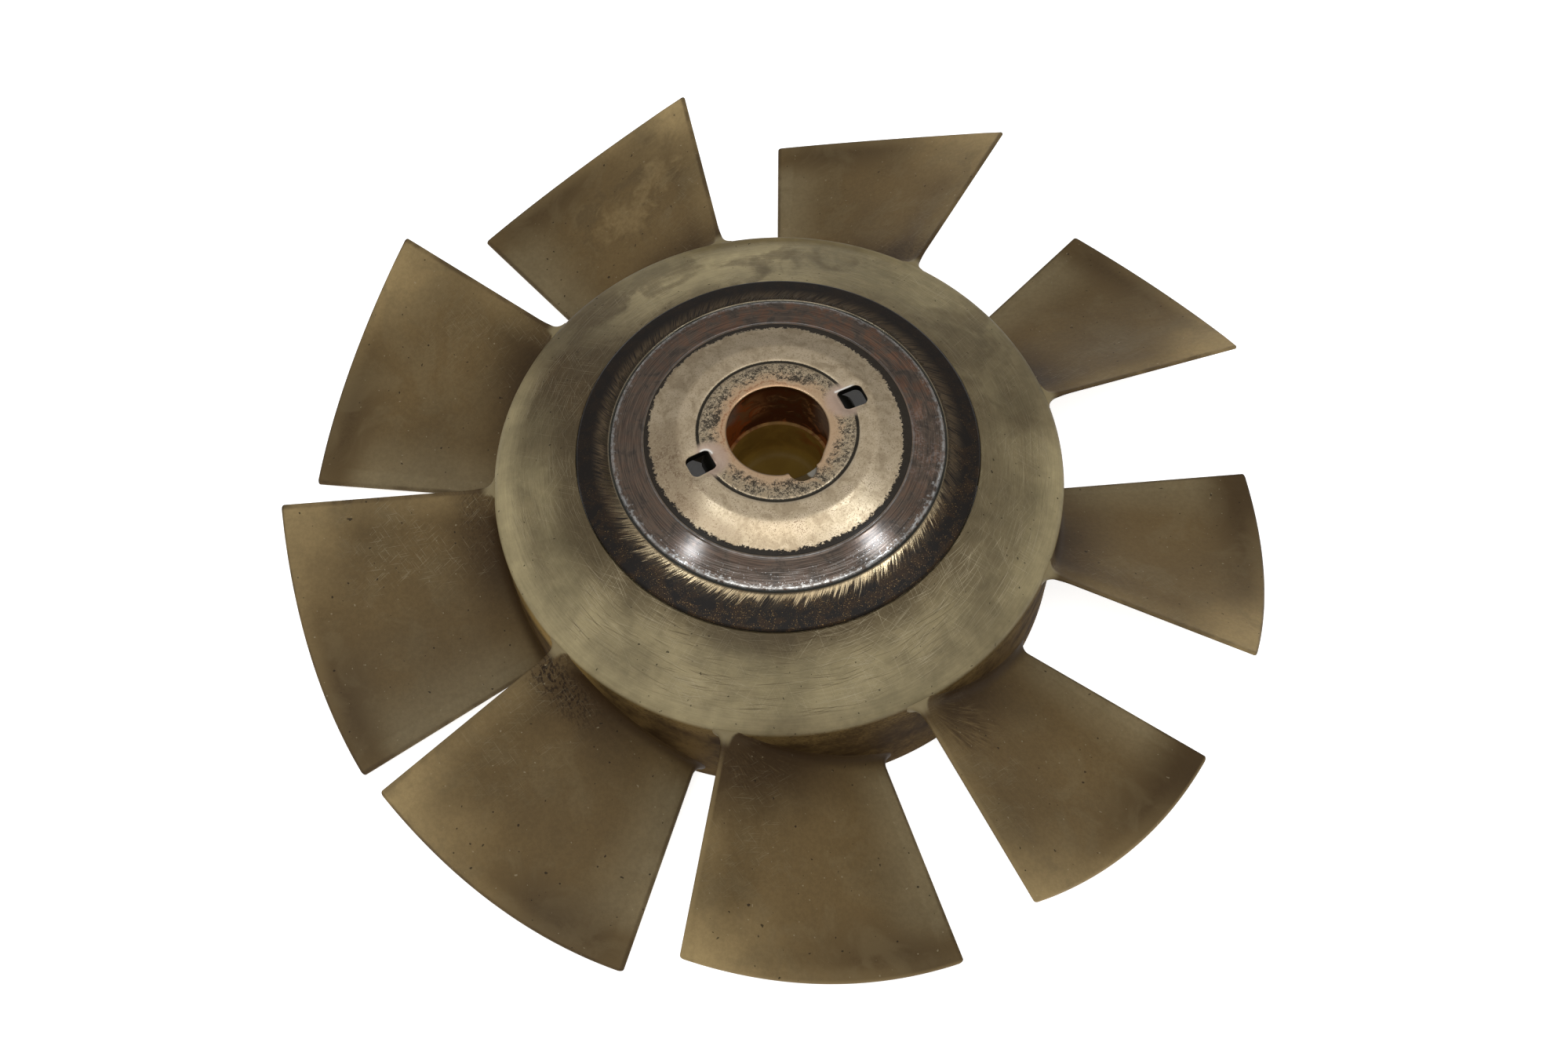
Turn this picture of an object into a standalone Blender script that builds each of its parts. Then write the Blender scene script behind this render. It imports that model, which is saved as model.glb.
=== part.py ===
# Engine cooling fan: nine uneven nylon blades on a hollow hub, with a drawn steel plate on its face.
# Metres, +Z up. The origin is on the fan's axis at the skirt's lower edge, and +Z is the plate's side.
import math

import bmesh
import bpy
from mathutils import Vector

mm = 0.001

FAN_RADIUS = 200.0 * mm
HUB_RADIUS = 114.4 * mm
HUB_WALL = 3.0 * mm
HUB_HEIGHT = 53.0 * mm
RIM_ROUNDING = 4.0 * mm
FACE_INNER_RADIUS = 79.7 * mm
FACE_INNER_HEIGHT = 68.2 * mm
SKIRT_TOP = 48.6 * mm
JOINT_GAP = 0.3 * mm
TURN_STEPS = 64

PLATE_RADIUS = 79.4 * mm
PLATE_THICKNESS = 1.3 * mm
PAD_TOP = 82.5 * mm
PLATE_GROOVE = 66.5 * mm
# Radius and height of the plate's drawn front surface, from the hole to the outer edge.
PLATE_FRONT = (
    (19.95, 82.3),
    (20.4, 82.5),
    (30.2, 82.5),
    (31.3, 81.9),
    (32.4, 82.3),
    (36.0, 81.7),
    (42.0, 80.3),
    (48.0, 78.5),
    (53.2, 77.1),
    (53.8, 77.4),
    (60.0, 75.2),
    (65.5, 73.4),
    (66.5, 72.6),
    (67.3, 72.9),
    (73.0, 71.2),
    (79.4, 69.2),
)
# The back surface lies one thickness below the front at these radii, and runs straight between them.
PLATE_BACK_RADII = (19.95, 30.2, 36.0, 48.0, 66.5, 79.4)
SLOT_ANGLES = (28.0, 204.0)
# Each slot is turned by this much from the line that runs out from the axis through it.
SLOT_SKEWS = (-7.0, -1.0)
SLOT_INNER = 28.4 * mm
SLOT_OUTER = 39.4 * mm
SLOT_INNER_WIDTH = 8.4 * mm
SLOT_OUTER_WIDTH = 10.4 * mm
SLOT_ROUNDING = 2.6 * mm
TONGUE_WIDTH = 6.4 * mm
TONGUE_DROP = 8.0 * mm
TONGUE_INSET = 0.3 * mm
NOTCH_ANGLE = -58.5
NOTCH_CENTRE = 19.4 * mm
NOTCH_RADIUS = 5.9 * mm
# The cutters reach this far through the plate.
CUTTER_DEPTH = 12.0 * mm

SEAT_INNER_RADIUS = 60.0 * mm
SEAT_THICKNESS = 2.6 * mm

TUBE_RADIUS = 25.5 * mm
UPPER_BORE = 21.5 * mm
LOWER_BORE = 20.2 * mm
BORE_LEDGE = 52.5 * mm
BORE_FLOOR = 32.6 * mm
TUBE_BOTTOM = 28.6 * mm
TUBE_TOP = 80.7 * mm

RIB_COUNT = 5
# The ribs leave the way through both slots clear.
RIB_FIRST_ANGLE = 8.0
RIB_THICKNESS = 2.5 * mm
RIB_INNER_FOOT = 31.0 * mm
RIB_OUTER_FOOT = 7.0 * mm

BLADE_FIRST_ANGLE = 116.0
# The blades stand at uneven steps, which spreads their hum over several notes.
BLADE_STEPS = (42.5, 43.0, 41.0, 38.5, 37.5, 37.5, 38.5, 40.0, 41.5)
BLADE_SWEEP = 29.94
BLADE_THICKNESS = 2.2 * mm
BLADE_ROOT_RADIUS = HUB_RADIUS + JOINT_GAP
TIP_HIGH_EDGE = 48.5 * mm
ROOT_HIGH_EDGE = 49.8 * mm
TIP_LOW_EDGE = 5.6 * mm
ROOT_LOW_EDGE = 8.4 * mm
TIP_SAG = 7.15 * mm
ROOT_SAG = 1.8 * mm
BLADE_CORNER = 3.0 * mm
BLADE_CELLS_ALONG = 6
BLADE_CELLS_ACROSS = 14


def clear_scene():
    for item in list(bpy.data.objects):
        bpy.data.objects.remove(item, do_unlink=True)


def make_collection(name):
    collection = bpy.data.collections.new(name)
    bpy.context.scene.collection.children.link(collection)
    return collection


def make_material(name, colour, roughness, metallic):
    material = bpy.data.materials.new(name)
    material.use_nodes = True
    shader = material.node_tree.nodes["Principled BSDF"]
    shader.inputs["Base Color"].default_value = (*colour, 1.0)
    shader.inputs["Roughness"].default_value = roughness
    shader.inputs["Metallic"].default_value = metallic
    material.diffuse_color = (*colour, 1.0)
    return material


def add_object(name, data, collection, material):
    item = bpy.data.objects.new(name, data)
    data.materials.append(material)
    collection.objects.link(item)
    return item


def height_on(profile, radius):
    """Height of a profile of radius and height at one radius, straight between its points."""
    for (r0, z0), (r1, z1) in zip(profile, profile[1:]):
        if radius <= r1:
            share = max(0.0, (radius - r0) / (r1 - r0))
            return z0 + (z1 - z0) * share
    return profile[-1][1]


def plate_front():
    return [(radius * mm, height * mm) for radius, height in PLATE_FRONT]


def plate_back():
    front = plate_front()
    radii = [radius * mm for radius in PLATE_BACK_RADII]
    return [(radius, height_on(front, radius) - PLATE_THICKNESS) for radius in radii]


def face_height(radius):
    """Height of the hub face's cone at a radius, before the rim is rounded."""
    slope = (HUB_HEIGHT - FACE_INNER_HEIGHT) / (HUB_RADIUS - FACE_INNER_RADIUS)
    return FACE_INNER_HEIGHT + slope * (radius - FACE_INNER_RADIUS)


def turned_ring(name, profile, collection, material):
    """A closed profile of radius and height, turned once round the fan's axis."""
    mesh = bpy.data.meshes.new(name)
    shape = bmesh.new()
    corners = [shape.verts.new((radius, 0.0, height)) for radius, height in profile]
    for index, corner in enumerate(corners):
        shape.edges.new((corner, corners[(index + 1) % len(corners)]))
    shape.to_mesh(mesh)
    shape.free()
    ring = add_object(name, mesh, collection, material)
    screw = ring.modifiers.new("turn", "SCREW")
    screw.steps = TURN_STEPS
    screw.render_steps = TURN_STEPS
    screw.use_merge_vertices = True
    screw.merge_threshold = 0.00001
    screw.use_smooth_shade = True
    return ring


def rim_arc(corner, radius, slope_angle, steps):
    """Points of the rounding between the face's cone and the upright skirt, face side first."""
    half_turn = (math.pi / 2 - slope_angle) / 2
    setback = radius * math.tan(half_turn)
    centre = Vector((corner[0] - radius, corner[1] - setback))
    start = math.pi / 2 - slope_angle
    return [
        (
            centre.x + radius * math.cos(start * (1.0 - step / steps)),
            centre.y + radius * math.sin(start * (1.0 - step / steps)),
        )
        for step in range(steps + 1)
    ]


def make_hub_face(collection, material):
    slope = math.atan2(FACE_INNER_HEIGHT - HUB_HEIGHT, HUB_RADIUS - FACE_INNER_RADIUS)
    drop = HUB_WALL / math.cos(slope)
    inner_radius = HUB_RADIUS - HUB_WALL
    outer = rim_arc((HUB_RADIUS, HUB_HEIGHT), RIM_ROUNDING, slope, 5)
    bottom = SKIRT_TOP + JOINT_GAP
    profile = [(FACE_INNER_RADIUS, FACE_INNER_HEIGHT)]
    profile += outer
    profile += [
        (HUB_RADIUS, bottom),
        (inner_radius, bottom),
        (inner_radius, face_height(inner_radius) - drop),
        (FACE_INNER_RADIUS, FACE_INNER_HEIGHT - drop),
    ]
    return turned_ring("hub_face", profile, collection, material)


def make_hub_skirt(collection, material):
    profile = [
        (HUB_RADIUS, SKIRT_TOP),
        (HUB_RADIUS, 0.0),
        (HUB_RADIUS - HUB_WALL, 0.0),
        (HUB_RADIUS - HUB_WALL, SKIRT_TOP),
    ]
    return turned_ring("hub_skirt", profile, collection, material)


def make_plate_seat(collection, material):
    radii = [SEAT_INNER_RADIUS, PLATE_GROOVE, PLATE_RADIUS]
    back = plate_back()
    top = [(radius, height_on(back, radius) - JOINT_GAP) for radius in radii]
    bottom = [(radius, height - SEAT_THICKNESS) for radius, height in reversed(top)]
    return turned_ring("plate_seat", top + bottom, collection, material)


def make_bearing_tube(collection, material):
    profile = [
        (UPPER_BORE, TUBE_TOP),
        (TUBE_RADIUS, TUBE_TOP),
        (TUBE_RADIUS, TUBE_BOTTOM),
        (LOWER_BORE, TUBE_BOTTOM),
        (LOWER_BORE, BORE_LEDGE),
        (UPPER_BORE, BORE_LEDGE),
    ]
    return turned_ring("bearing_tube", profile, collection, material)


def make_bore_floor(collection, material):
    mesh = bpy.data.meshes.new("bore_floor")
    shape = bmesh.new()
    depth = BORE_FLOOR - TUBE_BOTTOM
    radius = LOWER_BORE - JOINT_GAP
    bmesh.ops.create_cone(
        shape, cap_ends=True, segments=TURN_STEPS, radius1=radius, radius2=radius, depth=depth
    )
    shape.to_mesh(mesh)
    shape.free()
    floor = add_object("bore_floor", mesh, collection, material)
    floor.location.z = (BORE_FLOOR + TUBE_BOTTOM) / 2
    return floor


def rib_outline():
    """Radius and height of one rib's edge, under the plate, its seat and the hub face."""
    inner = TUBE_RADIUS + JOINT_GAP
    outer = HUB_RADIUS - HUB_WALL - JOINT_GAP
    slope = math.atan2(FACE_INNER_HEIGHT - HUB_HEIGHT, HUB_RADIUS - FACE_INNER_RADIUS)
    face_drop = HUB_WALL / math.cos(slope) + JOINT_GAP
    back = plate_back()
    seat_drop = SEAT_THICKNESS + 2 * JOINT_GAP
    seat_edge = SEAT_INNER_RADIUS - JOINT_GAP
    under_plate = [inner] + [radius for radius, height in back if inner < radius < seat_edge] + [seat_edge]
    under_seat = [seat_edge, PLATE_GROOVE, PLATE_RADIUS]
    under_face = [FACE_INNER_RADIUS, outer]
    edge = [(radius, height_on(back, radius) - JOINT_GAP) for radius in under_plate]
    edge += [(radius, height_on(back, radius) - seat_drop) for radius in under_seat]
    edge += [(radius, face_height(radius) - face_drop) for radius in under_face]
    edge += [(outer, RIB_OUTER_FOOT), (inner, RIB_INNER_FOOT)]
    return edge


def make_rib(number, collection, material):
    name = f"hub_rib_{number + 1}"
    curve = bpy.data.curves.new(name, "CURVE")
    curve.dimensions = "2D"
    curve.fill_mode = "BOTH"
    curve.extrude = RIB_THICKNESS / 2
    outline = rib_outline()
    spline = curve.splines.new("POLY")
    spline.points.add(len(outline) - 1)
    for point, (radius, height) in zip(spline.points, outline):
        point.co = (radius, height, 0.0, 1.0)
    spline.use_cyclic_u = True
    rib = add_object(name, curve, collection, material)
    rib.rotation_euler = (math.pi / 2, 0.0, math.radians(RIB_FIRST_ANGLE + number * 360.0 / RIB_COUNT))
    return rib


def blade_point(share_out, share_up):
    """A point of one blade's middle surface, for a blade that is centred on the +X axis.

    share_out runs from 0 at the root to 1 at the tip, share_up from the low edge to the high one.
    """
    radius = BLADE_ROOT_RADIUS + (FAN_RADIUS - BLADE_ROOT_RADIUS) * share_out
    angle = math.radians(BLADE_SWEEP) * (0.5 - share_up)
    low = ROOT_LOW_EDGE + (TIP_LOW_EDGE - ROOT_LOW_EDGE) * share_out
    high = ROOT_HIGH_EDGE + (TIP_HIGH_EDGE - ROOT_HIGH_EDGE) * share_out
    sag = ROOT_SAG + (TIP_SAG - ROOT_SAG) * share_out
    height = low + (high - low) * share_up - 4.0 * sag * share_up * (1.0 - share_up)
    return Vector((radius * math.cos(angle), radius * math.sin(angle), height))


def make_blade_mesh():
    """The curved sheet that all the blades share, with its outer corners cut round."""
    mesh = bpy.data.meshes.new("blade")
    shape = bmesh.new()
    bmesh.ops.create_grid(
        shape, x_segments=BLADE_CELLS_ALONG, y_segments=BLADE_CELLS_ACROSS, size=0.5
    )
    for vertex in shape.verts:
        vertex.co = blade_point(vertex.co.x + 0.5, vertex.co.y + 0.5)
    tips = [blade_point(1.0, 0.0), blade_point(1.0, 1.0)]
    corners = [vertex for vertex in shape.verts if any((vertex.co - tip).length < mm for tip in tips)]
    bmesh.ops.bevel(shape, geom=corners, offset=BLADE_CORNER, segments=3, profile=0.5, affect="VERTICES")
    bmesh.ops.recalc_face_normals(shape, faces=shape.faces)
    shape.to_mesh(mesh)
    shape.free()
    mesh.shade_smooth()
    return mesh


def make_blade(number, mesh, angle, collection):
    blade = bpy.data.objects.new(f"blade_{number + 1}", mesh)
    collection.objects.link(blade)
    blade.rotation_euler.z = math.radians(angle)
    sheet = blade.modifiers.new("thickness", "SOLIDIFY")
    sheet.thickness = BLADE_THICKNESS
    sheet.offset = 0.0
    sheet.use_even_offset = True
    return blade


def make_blades(collection, material):
    mesh = make_blade_mesh()
    mesh.materials.append(material)
    angle = BLADE_FIRST_ANGLE
    blades = []
    for number, step in enumerate(BLADE_STEPS):
        blades.append(make_blade(number, mesh, angle, collection))
        angle -= step
    return blades


def slot_cutter(number, collection, material):
    """A rounded wedge that cuts one slot through the plate."""
    name = f"slot_cutter_{number + 1}"
    mesh = bpy.data.meshes.new(name)
    shape = bmesh.new()
    bmesh.ops.create_cube(shape, size=1.0)
    length = SLOT_OUTER - SLOT_INNER
    for vertex in shape.verts:
        width = SLOT_OUTER_WIDTH if vertex.co.x > 0 else SLOT_INNER_WIDTH
        vertex.co = Vector((vertex.co.x * length, vertex.co.y * width, vertex.co.z * CUTTER_DEPTH))
    uprights = [
        edge for edge in shape.edges if abs(edge.verts[0].co.z - edge.verts[1].co.z) > mm
    ]
    bmesh.ops.bevel(shape, geom=uprights, offset=SLOT_ROUNDING, segments=4, profile=0.5, affect="EDGES")
    shape.to_mesh(mesh)
    shape.free()
    cutter = add_object(name, mesh, collection, material)
    place_in_slot(cutter, number, 0.0, PAD_TOP)
    return cutter


def tongue_solid(number, collection, material):
    """The strip that was lanced from a slot and bent down at its inner end."""
    name = f"slot_tongue_{number + 1}"
    mesh = bpy.data.meshes.new(name)
    shape = bmesh.new()
    bmesh.ops.create_cube(shape, size=1.0)
    for vertex in shape.verts:
        vertex.co = Vector(
            (vertex.co.x * PLATE_THICKNESS, vertex.co.y * TONGUE_WIDTH, vertex.co.z * TONGUE_DROP)
        )
    shape.to_mesh(mesh)
    shape.free()
    tongue = add_object(name, mesh, collection, material)
    top = PAD_TOP - PLATE_THICKNESS / 2
    inward = (SLOT_INNER - SLOT_OUTER) / 2 + TONGUE_INSET
    place_in_slot(tongue, number, inward, top - TONGUE_DROP / 2)
    return tongue


def notch_cutter(collection, material):
    mesh = bpy.data.meshes.new("notch_cutter")
    shape = bmesh.new()
    bmesh.ops.create_cone(
        shape, cap_ends=True, segments=24, radius1=NOTCH_RADIUS, radius2=NOTCH_RADIUS, depth=CUTTER_DEPTH
    )
    shape.to_mesh(mesh)
    shape.free()
    cutter = add_object("notch_cutter", mesh, collection, material)
    turn = math.radians(NOTCH_ANGLE)
    cutter.location = (NOTCH_CENTRE * math.cos(turn), NOTCH_CENTRE * math.sin(turn), PAD_TOP)
    return cutter


def place_in_slot(item, number, along, height):
    """Turn an item the way a slot lies, and put it this far along it from the slot's middle."""
    middle = (SLOT_INNER + SLOT_OUTER) / 2
    angle = math.radians(SLOT_ANGLES[number])
    own = angle + math.radians(SLOT_SKEWS[number])
    item.location.x = middle * math.cos(angle) + along * math.cos(own)
    item.location.y = middle * math.sin(angle) + along * math.sin(own)
    item.location.z = height
    item.rotation_euler.z = own


def hide_as_tool(item):
    item.hide_render = True
    item.display_type = "WIRE"


def make_steel_plate(parts, tools, material):
    profile = plate_front() + plate_back()[::-1]
    plate = turned_ring("steel_plate", profile, parts, material)
    cutters = [slot_cutter(number, tools, material) for number in range(len(SLOT_ANGLES))]
    cutters.append(notch_cutter(tools, material))
    tongues = [tongue_solid(number, tools, material) for number in range(len(SLOT_ANGLES))]
    for operation, items in (("DIFFERENCE", cutters), ("UNION", tongues)):
        for item in items:
            hide_as_tool(item)
            step = plate.modifiers.new(item.name, "BOOLEAN")
            step.operation = operation
            step.solver = "EXACT"
            step.object = item
    return plate


def main():
    clear_scene()
    parts = make_collection("engine_cooling_fan")
    tools = make_collection("cutters")
    nylon = make_material("aged_nylon", (0.36, 0.31, 0.20), 0.55, 0.0)
    bore_nylon = make_material("bore_nylon", (0.42, 0.38, 0.20), 0.5, 0.0)
    steel = make_material("coated_steel", (0.42, 0.38, 0.30), 0.42, 0.85)
    make_hub_face(parts, nylon)
    make_hub_skirt(parts, nylon)
    make_plate_seat(parts, nylon)
    make_bearing_tube(parts, bore_nylon)
    make_bore_floor(parts, bore_nylon)
    for number in range(RIB_COUNT):
        make_rib(number, parts, nylon)
    make_blades(parts, nylon)
    make_steel_plate(parts, tools, steel)


main()
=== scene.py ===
import math

import bmesh
import bpy
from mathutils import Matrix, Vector


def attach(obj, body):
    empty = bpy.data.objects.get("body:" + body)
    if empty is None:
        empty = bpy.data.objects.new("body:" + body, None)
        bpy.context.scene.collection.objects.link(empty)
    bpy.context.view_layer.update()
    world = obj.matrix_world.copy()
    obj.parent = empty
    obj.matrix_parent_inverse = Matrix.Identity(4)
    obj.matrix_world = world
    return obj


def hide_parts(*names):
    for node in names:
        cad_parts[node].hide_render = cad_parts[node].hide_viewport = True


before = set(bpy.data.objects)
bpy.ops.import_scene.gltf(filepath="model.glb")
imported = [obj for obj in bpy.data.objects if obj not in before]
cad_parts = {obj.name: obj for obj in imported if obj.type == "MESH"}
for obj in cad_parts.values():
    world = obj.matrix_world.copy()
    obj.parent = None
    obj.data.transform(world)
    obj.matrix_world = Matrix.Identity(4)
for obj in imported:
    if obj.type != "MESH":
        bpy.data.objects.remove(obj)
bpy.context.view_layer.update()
mm = 0.001
print("frame loaded", len(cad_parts), "nodes")


# Numbers inside a node tree, so that a rule reads as plain arithmetic
class Field:
    def __init__(self, tree, socket):
        self.tree = tree
        self.socket = socket

    def __neg__(self):
        return self * -1.0


def addOperator(name, operation):
    setattr(Field, f"__{name}__", lambda own, other: act(operation, own, other))
    setattr(Field, f"__r{name}__", lambda own, other: act(operation, other, own))


for name, operation in (("add", "ADD"), ("sub", "SUBTRACT"), ("mul", "MULTIPLY"), ("truediv", "DIVIDE")):
    addOperator(name, operation)


def plug(tree, value, socket):
    if isinstance(value, Field):
        value = value.socket
    if isinstance(value, bpy.types.NodeSocket):
        tree.links.new(value, socket)
    else:
        socket.default_value = value


# A new node: its inputs are given by name or place, as fields, sockets or constants
def node(tree, kind, inputs=(), **settings):
    made = tree.nodes.new(kind)
    for name, value in settings.items():
        setattr(made, name, value)
    for name, value in inputs:
        plug(tree, value, made.inputs[name])
    return made


def fieldNode(tree, kind, inputs=(), output=0, **settings):
    return Field(tree, node(tree, kind, inputs, **settings).outputs[output])


def treeOf(values):
    return next(value.tree for value in values if isinstance(value, Field))


def act(operation, *values):
    return fieldNode(treeOf(values), "ShaderNodeMath", enumerate(values), operation=operation)


def ramp(value, start, end, low=0.0, high=1.0, kind="SMOOTHSTEP"):
    inputs = (("From Min", start), ("From Max", end), ("To Min", low), ("To Max", high), ("Value", value))
    return fieldNode(value.tree, "ShaderNodeMapRange", inputs, "Result", interpolation_type=kind)


def band(value, start, end, soft):
    return ramp(value, start - soft, start + soft) * ramp(value, end - soft, end + soft, 1.0, 0.0)


def bell(value, centre, width):
    away = (value - centre) / width
    return act("EXPONENT", -(away * away))


# Cosine and sine of an angle in degrees
def heading(degrees):
    turn = math.radians(degrees)
    return math.cos(turn), math.sin(turn)


def distance(x, y):
    return act("SQRT", x * x + y * y)


def combine(*parts):
    return fieldNode(treeOf(parts), "ShaderNodeCombineXYZ", enumerate(parts))


# Layers of one kind added up, each made from its own row of numbers
def added(layer, *rows):
    total = layer(*rows[0])
    for row in rows[1:]:
        total = total + layer(*row)
    return total


def separate(vector):
    outputs = node(vector.tree, "ShaderNodeSeparateXYZ", [(0, vector)]).outputs
    return [Field(vector.tree, socket) for socket in outputs]


# A finish holds one material's tree, its place on the fan in millimetres, and the layers painted so far
class Finish:
    def __init__(self, name, palette, base, specular):
        self.palette = palette
        self.material = bpy.data.materials.new(name)
        self.material.use_nodes = True
        self.material.diffuse_color = (*palette[base], 1.0)
        self.tree = self.material.node_tree
        self.shader = self.tree.nodes["Principled BSDF"]
        self.shader.inputs["Specular IOR Level"].default_value = specular
        place = fieldNode(self.tree, "ShaderNodeTexCoord", output="Object")
        self.x, self.y, self.z = [part * (1.0 / mm) for part in separate(place)]
        self.radius = distance(self.x, self.y)
        self.cosine, self.sine = self.x / self.radius, self.y / self.radius
        self.spot = combine(self.x, self.y, self.z)
        self.colour = base
        self.metal = 0.0
        self.coat = 0.0
        self.height = None

    # Colours are palette names or fields. A mix node has them at inputs 6 and 7 and at output 2
    def mixed(self, first, second, mask):
        inputs = [(0, mask)]
        for place, colour in ((6, first), (7, second)):
            inputs.append((place, (*self.palette[colour], 1.0) if isinstance(colour, str) else colour))
        return fieldNode(self.tree, "ShaderNodeMix", inputs, 2, data_type="RGBA")

    def paint(self, colour, mask):
        self.colour = self.mixed(self.colour, colour, mask)

    def shade(self, factor):
        inputs = [(0, self.colour), ("Scale", factor)]
        self.colour = fieldNode(self.tree, "ShaderNodeVectorMath", inputs, operation="SCALE")

    # Noise over the material's place, with scale in cells per millimetre
    def grain(self, scale, detail=2.0, roughness=0.5, distortion=0.0):
        return self.grainAt(self.spot, detail, roughness, distortion, scale)

    # Noise over a place that is already scaled
    def grainAt(self, place, detail=2.0, roughness=0.5, distortion=0.0, scale=1.0):
        inputs = [("Vector", place), ("Scale", scale), ("Detail", detail)]
        inputs += [("Roughness", roughness), ("Distortion", distortion)]
        return fieldNode(self.tree, "ShaderNodeTexNoise", inputs)

    def specks(self, scale, low, high):
        return ramp(self.grain(scale, 0.0), low, high)

    # Noise that is drawn out round the axis: count is cells per radian, third the cells the other way
    def around(self, count, third, detail=2.0, roughness=0.5, distortion=0.0):
        place = combine(self.cosine * count, self.sine * count, third)
        return self.grainAt(place, detail, roughness, distortion)

    # Place along and across a direction on the plan
    def onLine(self, degrees):
        cosine, sine = heading(degrees)
        return self.x * cosine + self.y * sine, self.y * cosine - self.x * sine

    # Fine straight marks on the face: turned by an angle, long one way and thin the other
    def strokes(self, degrees, length, width, low, high, shift=0.0):
        along, across = self.onLine(degrees)
        spot = combine(along * (1.0 / length), across * (1.0 / width), shift)
        return ramp(self.grainAt(spot, 1.0), low, high)

    # Curved marks that cross the circles at a slant; their seam lies in the dirt at 150 degrees
    def arcs(self, slant, length, width, low, high, shift=0.0):
        faceMiddle = 97.0
        ahead, aside = self.onLine(150.0 - 180.0)
        arc = act("ARCTAN2", aside, ahead) * faceMiddle
        spot = combine(arc * (1.0 / length), (self.radius + arc * slant) * (1.0 / width), shift)
        return ramp(self.grainAt(spot, 1.0), low, high)

    # Radial hairs on the plate's margin, count of them per radian, leaning with the radius
    def hairs(self, count, across):
        marginStart, lean = 67.0, 0.01
        turn = (self.radius - marginStart) * lean
        cosine, sine = act("COSINE", turn), act("SINE", turn)
        bentCosine = self.cosine * cosine - self.sine * sine
        bentSine = self.sine * cosine + self.cosine * sine
        spot = combine(bentCosine * count, bentSine * count, self.radius * across)
        return self.grainAt(spot, 2.0, 0.6)

    # 1 round the inner ends of the two slots
    def slotReach(self):
        innerEnd, clear, full = 29.0, 9.0, 5.5
        spots = []
        for degrees in plate["slotAngles"]:
            cosine, sine = heading(degrees)
            away = distance(self.x - innerEnd * cosine, self.y - innerEnd * sine)
            spots.append(ramp(away, clear, full))
        return spots[0] + spots[1]

    # Cosine of the angle from a direction on the plan
    def toward(self, degrees):
        cosine, sine = heading(degrees)
        return self.cosine * cosine + self.sine * sine

    # 1 in the direction of an angle, falling smoothly to 0 at width degrees from it
    def lobe(self, degrees, width):
        return ramp(self.toward(degrees), heading(width)[0], 1.0)

    # 1 within 18 degrees of an angle, which takes in one blade
    def sector(self, degrees):
        return ramp(self.toward(degrees), heading(19.0)[0], heading(18.0)[0])

    # Distance in millimetres from a bent line on the plan
    def trail(self, corners, shiftX, shiftY):
        fromX, fromY = self.x + shiftX, self.y + shiftY
        nearest = None
        for (x0, y0), (x1, y1) in zip(corners, corners[1:]):
            across, along = x1 - x0, y1 - y0
            span = across * across + along * along
            part = ramp(((fromX - x0) * across + (fromY - y0) * along) / span, 0.0, 1.0, kind="LINEAR")
            gap = distance(fromX - x0 - part * across, fromY - y0 - part * along)
            nearest = gap if nearest is None else act("MINIMUM", nearest, gap)
        return nearest

    def done(self):
        inputs = {"Base Color": self.colour, "Roughness": self.rough, "Metallic": self.metal}
        inputs.update({"Coat Weight": self.coat, "Coat Roughness": 0.14})
        if self.height is not None:
            bump = [("Distance", mm), ("Strength", 1.0), ("Height", self.height)]
            inputs["Normal"] = fieldNode(self.tree, "ShaderNodeBump", bump)
        for name, value in inputs.items():
            plug(self.tree, value, self.shader.inputs[name])
        return self.material


# Nylon moulding, aged and stained
nylon = {
    "face": (0.232, 0.188, 0.100),
    "faceDirt": (0.072, 0.049, 0.024),
    "faceStain": (0.138, 0.105, 0.056),
    "paleAndPaintedLight": (0.345, 0.282, 0.154),
    "scratchLight": (0.44, 0.37, 0.235),
    "skirtDark": (0.031, 0.0145, 0.0024),
    "skirtMid": (0.110, 0.066, 0.020),
    "skirtGold": (0.250, 0.165, 0.056),
    "skirtGlow": (0.420, 0.270, 0.080),
    "rimWarmDark": (0.150, 0.105, 0.030),
    "speck": (0.018, 0.012, 0.006),
    "fleck": (0.022, 0.012, 0.005),
    "blade": (0.135, 0.089, 0.037),
    "bladeLight": (0.365, 0.262, 0.120),
    "bladeDust": (0.165, 0.120, 0.058),
    "bladePale": (0.240, 0.188, 0.102),
    "bladeDark": (0.050, 0.029, 0.012),
}


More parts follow.
